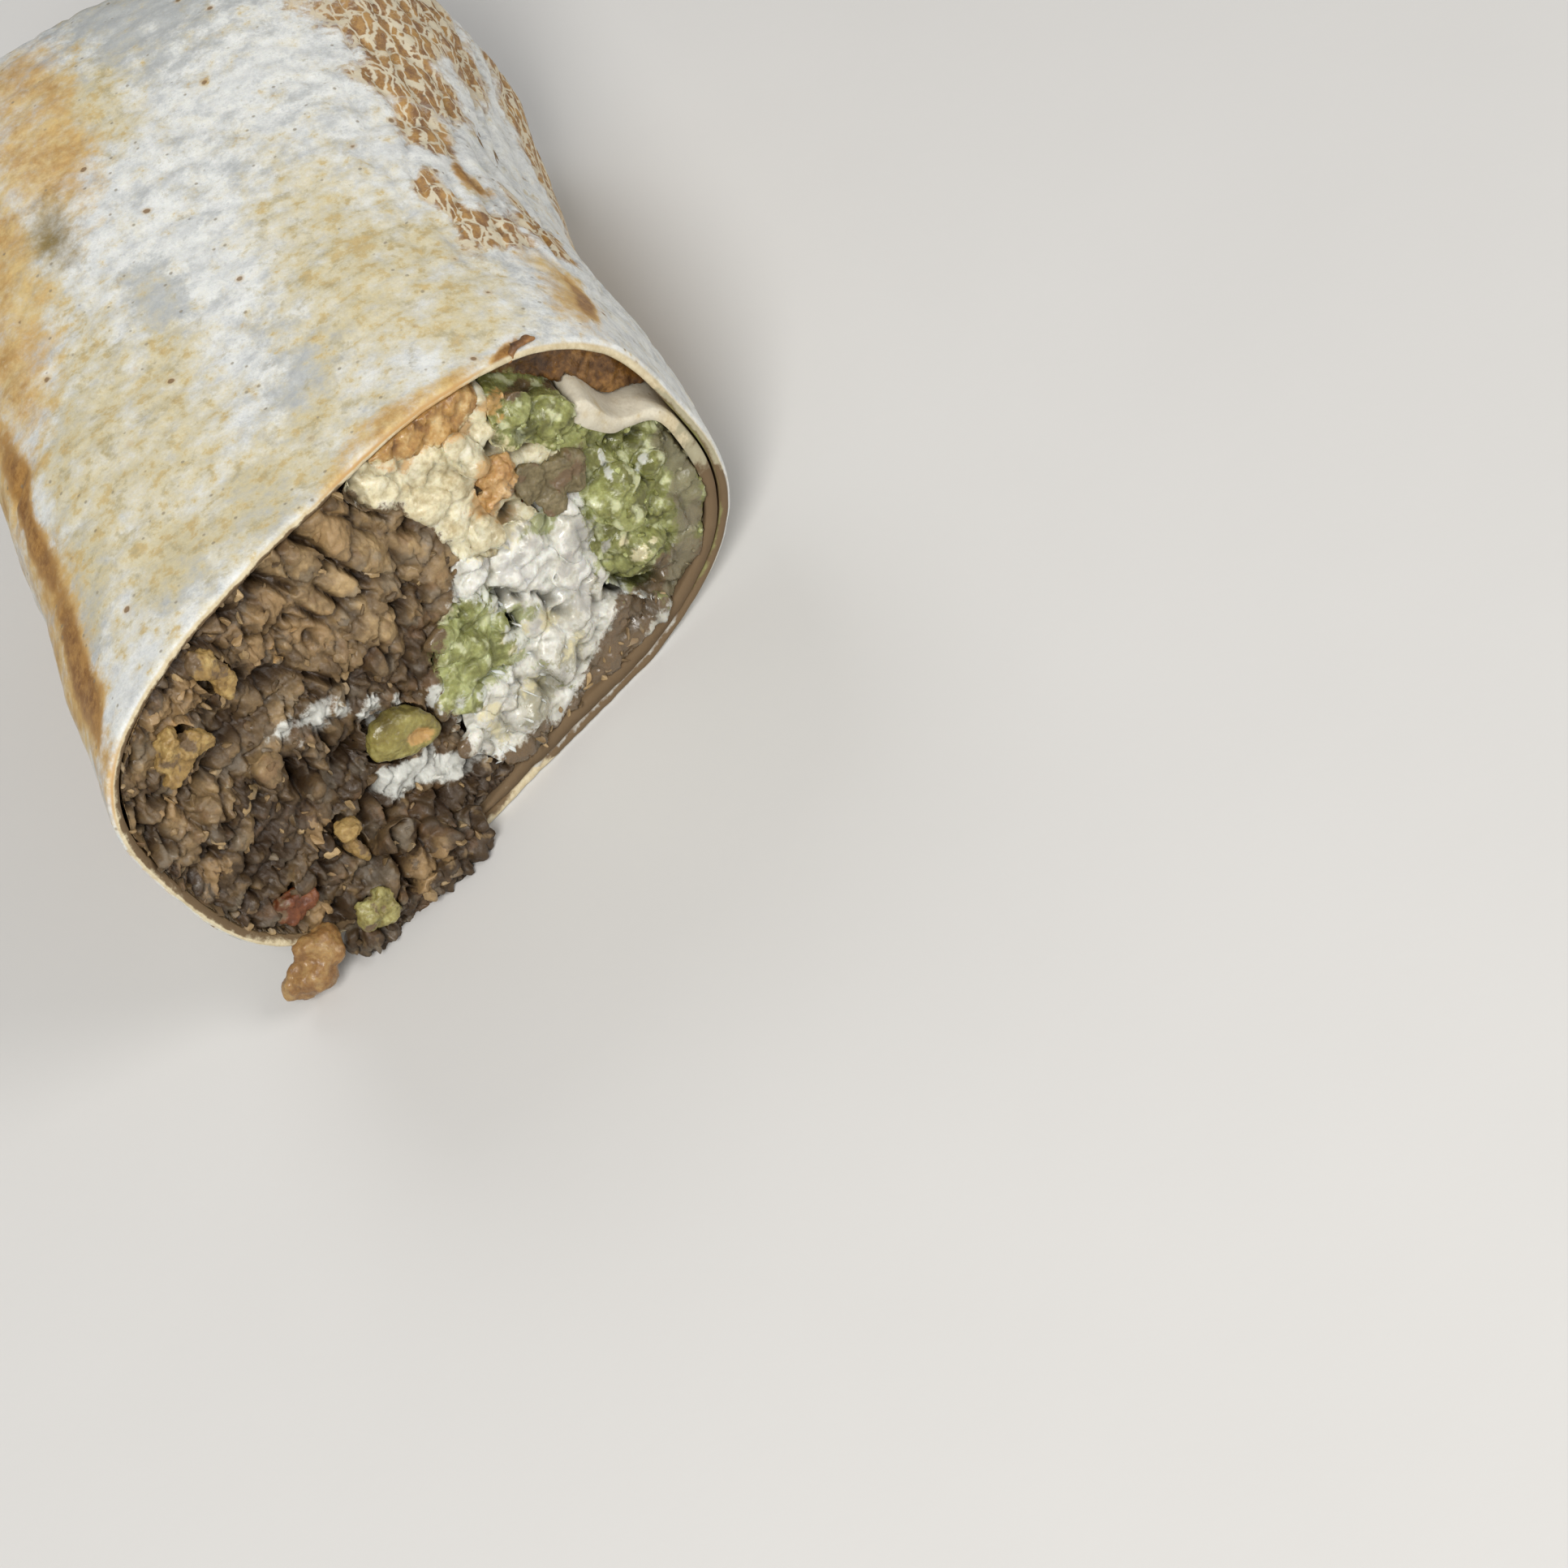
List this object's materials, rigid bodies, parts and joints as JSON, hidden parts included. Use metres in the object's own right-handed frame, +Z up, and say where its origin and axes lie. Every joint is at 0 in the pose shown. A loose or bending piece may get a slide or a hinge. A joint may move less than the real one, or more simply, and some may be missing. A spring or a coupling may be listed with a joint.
{
  "type": "burrito half",
  "caption": "Half of a cut burrito lying on its side: a rolled flour tortilla with a folded end and a slanted cut that shows beef, guacamole, sour cream and cheese.",
  "frame": {"origin": "under the middle of the half's bounding box, on the surface it lies on", "axes": "+Y along the roll from the cut towards the folded end, +Z up, +X to the right as the cut is faced"},
  "size_m": [0.0772, 0.138, 0.052],
  "materials": {
    "tortilla": null,
    "ground_beef": "moist browned ground beef, crumbly",
    "guacamole": "wet mashed avocado, lumpy",
    "sour_cream": "smooth wet cream",
    "cheese": "half-melted crumbled white cheese",
    "salsa": "wet orange salsa soaked into the wrap",
    "bean_sauce": "dark red-brown bean sauce",
    "olive": "wet olive-green slice",
    "corn": "cooked golden corn, stained by the sauce",
    "green_pepper": "cooked green pepper",
    "red_pepper": "cooked red pepper",
    "tomato": "wet tomato dice",
    "onion": "soft cooked onion, mauve brown",
    "drip": "set drop of sauce and fat"
  },
  "bodies": {
    "root": {"tortilla": "tortilla", "ground_beef": "ground_beef", "guacamole_side": "guacamole", "guacamole_low": "guacamole", "sour_cream": "sour_cream", "cheese": "cheese", "salsa": "salsa", "bean_sauce": "bean_sauce", "olive_slice": "olive", "corn_kernel_1": "corn", "corn_kernel_2": "corn", "corn_kernel_3": "corn", "pepper_piece_green": "green_pepper", "pepper_piece_red": "red_pepper", "tomato_piece": "tomato", "onion_piece": "onion", "sauce_drip": "drip"}
  },
  "joints": []
}
